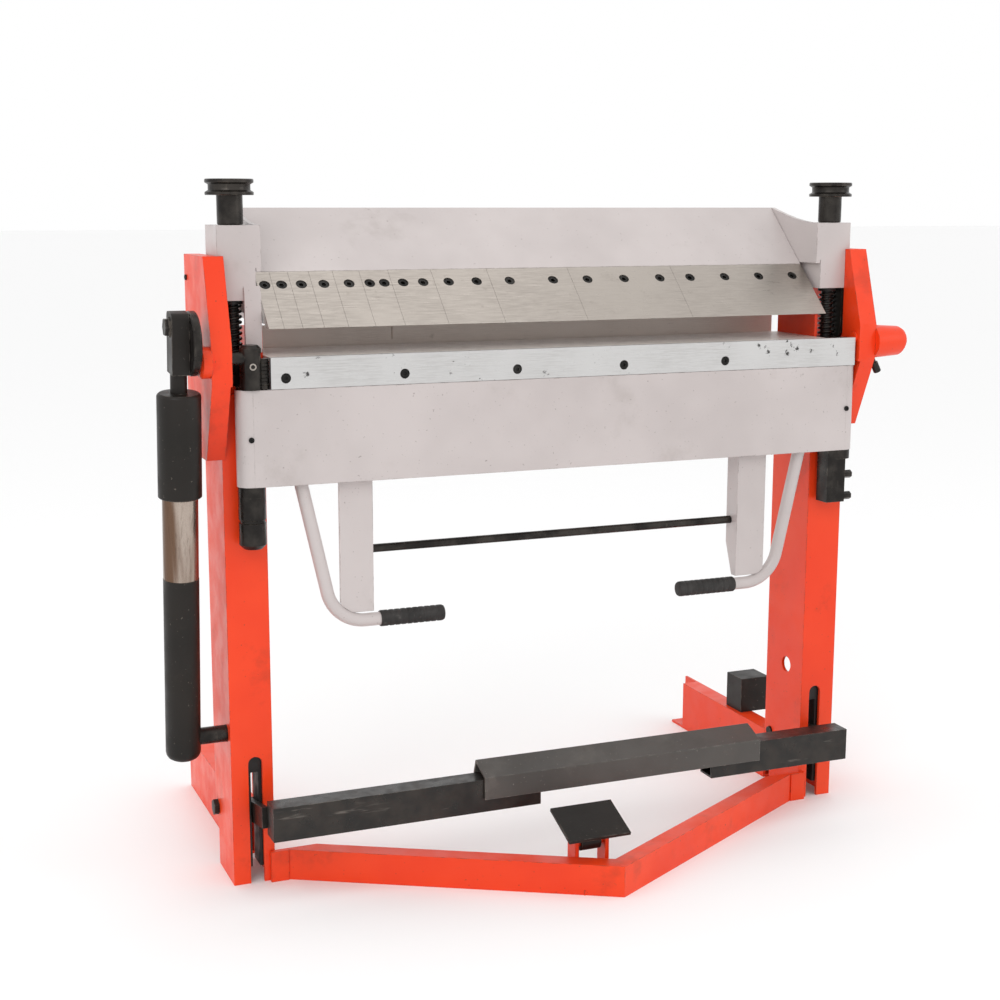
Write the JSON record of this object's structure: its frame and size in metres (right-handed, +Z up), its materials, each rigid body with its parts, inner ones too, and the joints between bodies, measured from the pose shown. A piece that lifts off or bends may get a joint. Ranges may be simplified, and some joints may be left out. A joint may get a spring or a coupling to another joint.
{
  "type": "sheet metal brake",
  "caption": "Foot-operated box and pan brake: folding apron with two bent handles, lifting clamping beam with separate fingers, treadle, and a balance cylinder",
  "frame": {"origin": "on the floor, under the middle of the outline", "axes": "+X to the operator's right along the bend line, +Y to the rear, +Z up"},
  "size_m": [1.359, 0.79, 1.155],
  "materials": {
    "orange_paint": "semi-gloss enamel",
    "grey_paint": "satin enamel",
    "black_paint": "satin enamel",
    "tread_paint": "worn satin",
    "ground_steel": "ground",
    "tube_steel": "polished",
    "black_steel": "black oxide",
    "grip_rubber": "matt"
  },
  "bodies": {
    "frame": {"bed_beam": "grey_paint", "bed_plate": "ground_steel", "cylinder_pin": "black_steel", "front_base_bar": "orange_paint", "left_column": "orange_paint", "left_lift_spring": "black_steel", "left_pivot_bracket": "orange_paint", "left_rear_foot": "orange_paint", "left_rod_guide": "black_steel", "rear_rail": "ground_steel", "rear_weight": "black_paint", "right_column": "orange_paint", "right_lift_spring": "black_steel", "right_pivot_bracket": "orange_paint", "right_rear_foot": "orange_paint", "right_rod_guide": "black_steel"},
    "beam": {"beam_shell": "grey_paint", "finger_01_25mm": "ground_steel", "finger_02_30mm": "ground_steel", "finger_03_35mm": "ground_steel", "finger_04_40mm": "ground_steel", "finger_05_45mm": "ground_steel", "finger_06_50mm": "ground_steel", "finger_07_75mm": "ground_steel", "finger_08_100mm": "ground_steel", "finger_09_150mm": "ground_steel", "finger_10_200mm": "ground_steel", "finger_11_270mm": "ground_steel", "left_end_block": "grey_paint", "right_end_block": "grey_paint"},
    "lift_rods": {"left_pull_rod": "black_steel", "right_pull_rod": "black_steel"},
    "left_knob": {"left_adjuster": "black_steel"},
    "right_knob": {"right_adjuster": "black_steel"},
    "treadle": {"left_treadle_bar": "black_paint", "right_treadle_bar": "black_paint", "foot_plate": "tread_paint", "left_treadle_lever": "black_paint", "right_treadle_lever": "black_paint"},
    "pedal": {"pedal": "black_paint"},
    "apron": {"apron_panel": "grey_paint", "apron_bar": "ground_steel", "left_pivot_post": "black_steel", "right_pivot_post": "black_steel", "crank_shaft": "black_steel", "right_pivot_shaft": "orange_paint", "left_handle": "grey_paint", "right_handle": "grey_paint", "left_grip": "grip_rubber", "right_grip": "grip_rubber", "left_apron_arm": "grey_paint", "right_apron_arm": "grey_paint", "cross_rod": "black_steel"},
    "balance_lower": {"balance_body": "black_paint", "balance_tube": "tube_steel", "balance_spring": "black_steel"},
    "balance_upper": {"balance_sleeve": "black_paint", "balance_rod": "black_steel"}
  },
  "joints": [
    {"name": "apron_fold", "type": "hinge", "parent": "frame", "child": "apron", "pos_m": [0, -0.15, 0.881], "axis": [-1, 0, 0], "range_deg": [0, 135]},
    {"name": "beam_lift", "type": "slide", "parent": "frame", "child": "lift_rods", "axis": [0, 0, -1], "range_m": [0, 0.0205], "stiffness_N_per_m": 8000, "springref_m": -0.17, "deforming": ["left_lift_spring", "right_lift_spring"]},
    {"name": "beam_set", "type": "slide", "parent": "lift_rods", "child": "beam", "axis": [0, 0, -1], "range_m": [0, 0.021]},
    {"name": "left_knob_turn", "type": "hinge", "parent": "beam", "child": "left_knob", "pos_m": [-0.545, -0.084, 1.1], "axis": [0, 0, -1], "range_deg": [0, 1890.5]},
    {"name": "right_knob_turn", "type": "hinge", "parent": "beam", "child": "right_knob", "pos_m": [0.559, -0.084, 1.1], "axis": [0, 0, -1], "range_deg": [0, 1890.5]},
    {"name": "treadle_press", "type": "hinge", "parent": "frame", "child": "treadle", "pos_m": [0, -0.004, 0.102], "axis": [1, 0, 0], "range_deg": [0, 14.6]},
    {"name": "pedal_press", "type": "hinge", "parent": "frame", "child": "pedal", "pos_m": [0, -0.312, 0.07], "axis": [1, 0, 0], "range_deg": [0, 15], "stiffness_Nm_per_rad": 4, "springref_deg": -22.92},
    {"name": "balance_swing", "type": "hinge", "parent": "frame", "child": "balance_lower", "pos_m": [-0.6453, -0.082, 0.257], "axis": [-1, 0, 0], "range_deg": [0, 2.66]},
    {"name": "balance_slide", "type": "slide", "parent": "balance_lower", "child": "balance_upper", "axis": [0, 0.1002, -0.995], "range_m": [0, 0.08981], "deforming": ["balance_spring"]}
  ],
  "couplings": [
    {"joint": "treadle_press", "follows": "beam_lift", "rad_per_m": 12.345},
    {"joint": "left_knob_turn", "follows": "beam_set", "rad_per_m": 1570.8},
    {"joint": "right_knob_turn", "follows": "beam_set", "rad_per_m": 1570.8},
    {"joint": "balance_swing", "follows": "apron_fold", "ratio": 0.01958},
    {"joint": "balance_slide", "follows": "apron_fold", "m_per_rad": 0.038033}
  ]
}
